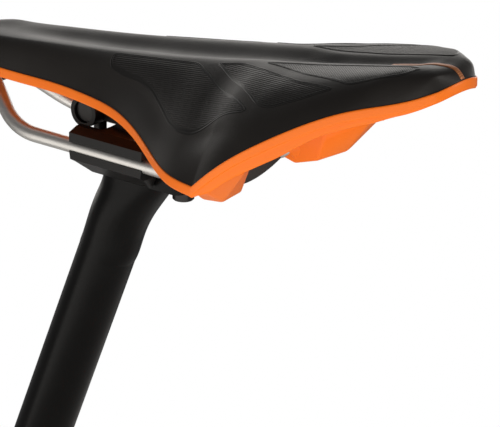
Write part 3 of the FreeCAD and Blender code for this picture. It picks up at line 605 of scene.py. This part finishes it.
# The border from the panel's edge inwards: how far in, and the height.
BORDER = ((0.0, -0.3), (0.06, 0.04), (0.18, 0.18), (0.32, 0.22), (0.46, 0.18), (0.6, 0.05), (0.85, 0.04),
          (0.98, 0.14), (1.12, 0.18), (1.26, 0.14), (1.4, 0.06))
BEAD_END = 1.3
PAD_HEIGHT = 0.06
CORNER, SPACING = 3.4, 0.6    # corner radius, and between points of the border
RIB_PITCH = 0.9
# The way across the ribs in each panel: (X, out, up).
RIB_WAY = {"front": (0.10, -0.34, 0.95), "mid": (-0.02, -0.45, 0.93), "rear": (-0.62, -0.72, 0.55)}


def rounded(outline, radius, spacing):
    """Closed line with each corner drawn as a quadratic curve that starts radius before it."""
    corners = np.array(outline, float)
    line = []
    for before, corner, after in zip(np.roll(corners, 1, 0), corners, np.roll(corners, -1, 0)):
        back, ahead = before - corner, after - corner
        one = corner + back * min(radius / np.linalg.norm(back), 0.45)
        two = corner + ahead * min(radius / np.linalg.norm(ahead), 0.45)
        t = np.linspace(0.0, 1.0, 7)[:, None]
        line.append(one * (1 - t) ** 2 + 2 * corner * t * (1 - t) + two * t * t)
    line = np.concatenate(line)
    closed = np.concatenate([line, line[:1]])
    walk = np.concatenate([[0.0], np.cumsum(np.linalg.norm(np.diff(closed, axis=0), axis=1))])
    at = np.linspace(0.0, walk[-1], int(walk[-1] / spacing), endpoint=False)
    return np.column_stack([np.interp(at, walk, closed[:, k]) for k in (0, 1)])


grip_skin, surface = begin("grip_rubber", Specular_IOR_Level=0.24)
rib = Field.node("ShaderNodeAttribute", out=2, attribute_name="rib")
field = Field.node("ShaderNodeAttribute", out=2, attribute_name="field")
wave = rib.wave(RIB_PITCH)
grain = noise(place(), 2.4, 3.0)
# Inside the bead the rib crests are painted lighter than the troughs and the bead: a painted sheen on the
# ribs.
wire(surface, wave * field * 0.8 + grain * 0.12, 0.16,
     Base_Color=(wave * field).colour((0.0085, 0.0076, 0.0070), (0.0155, 0.0140, 0.0128)),
     Roughness=grain * 0.14 + field * 0.1 + 0.27)

for grip_name, outline in GRIPS.items():
    ring = rounded(outline, CORNER, SPACING)
    ahead = np.roll(ring, -1, 0) - np.roll(ring, 1, 0)
    inward = np.column_stack([-ahead[:, 1], ahead[:, 0]]) / np.linalg.norm(ahead, axis=1)[:, None]
    centre = ring.mean(0)
    inward *= np.sign(np.sum(inward * (centre - ring)))
    rings = [(ring + inward * into, height) for into, height in BORDER]
    last = rings[-1][0]
    shares = np.linspace(0.0, 1.0, 34)[1:-1]
    rings += [(last + (centre - last) * share, PAD_HEIGHT) for share in shares]
    flat = np.concatenate([plan for plan, _ in rings] + [centre[None]])
    heights = np.concatenate([np.full(len(ring), height) for _, height in rings] + [[PAD_HEIGHT]])
    in_field = [np.full(len(ring), 1.0 if into > BEAD_END else 0.0) for into, _ in BORDER]
    in_field += [np.ones(len(ring) * len(shares) + 1)]
    count, turns = len(ring), len(rings)
    z = skin_z(flat[:, 0], flat[:, 1])
    across_ribs = np.column_stack([flat, z]) @ RIB_WAY[grip_name]
    pad_loops = np.arange(turns * count).reshape(turns, count)
    faces = []
    for base in (0, len(flat)):
        turned = base + pad_loops
        faces += [band(one, other) for one, other in zip(turned, turned[1:])]
        hub = np.full(count, base + len(flat) - 1)
        faces += [np.stack([turned[-1], np.roll(turned[-1], -1), hub], 1)]
    faces += [band(pad_loops[0], len(flat) + pad_loops[0])]
    faces = [face for rows in faces for face in rows.tolist()]
    for way, side_name in SIDES:
        upper_side = np.column_stack([flat[:, 0], flat[:, 1] * way, z + heights])
        under_side = np.column_stack([flat[:, 0], flat[:, 1] * way, np.minimum(z + heights - 0.2, z - 0.5)])
        pad = new_object("grip_pad_%s_%s" % (grip_name, side_name),
                         np.concatenate([upper_side, under_side]), faces)
        outward_normals(pad)
        for label, values in (("rib", across_ribs), ("field", np.concatenate(in_field))):
            both_sides = np.tile(values, 2).astype(np.float32)
            pad.data.attributes.new(label, "FLOAT", "POINT").data.foreach_set("value", both_sides)
        pad.data.materials.append(grip_skin)
        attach(pad, "saddle")
        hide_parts("grip_%s_%s" % (grip_name, side_name))

# ------------------------------------------------------------ centre stripe
# Narrow copper-coloured woven band let into the skin down the middle of the
# tail. Its section is how far out, and the height over the skin.
SECTION = np.array([(-1.4, -0.25), (-1.36, 0.12), (-1.22, 0.26), (-0.7, 0.3), (0.0, 0.3), (0.7, 0.3),
                    (1.22, 0.26), (1.36, 0.12), (1.4, -0.25)])
WEAVE_PITCH = 0.7
along = np.linspace(-136.0, -172.4, 150)
x = np.repeat(along[:, None], len(SECTION), 1)
y = np.repeat(SECTION[None, :, 0], len(along), 0)
skin_under = skin_z(x.ravel(), y.ravel()).reshape(x.shape)
points = np.stack([x, y, skin_under + SECTION[None, :, 1]], -1)
low = points.copy()
low[..., 2] = np.minimum(points[..., 2], skin_under - 0.2) - 0.2
stripe = layered("tail_stripe", points, [], low)
copper, surface = begin("copper_band", Metallic=0.35)
weave = Field.node("ShaderNodeSeparateXYZ", {0: place()}).wave(WEAVE_PITCH)
grain = noise(place(), 3.0, 3.0)
wire(surface, weave * 0.6 + grain * 0.4, 0.06,
     Base_Color=weave.colour((0.36, 0.12, 0.04), (0.55, 0.2, 0.07)), Roughness=grain * 0.2 + 0.3)
stripe.data.materials.append(copper)
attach(stripe, "saddle")
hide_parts("centre_stripe")
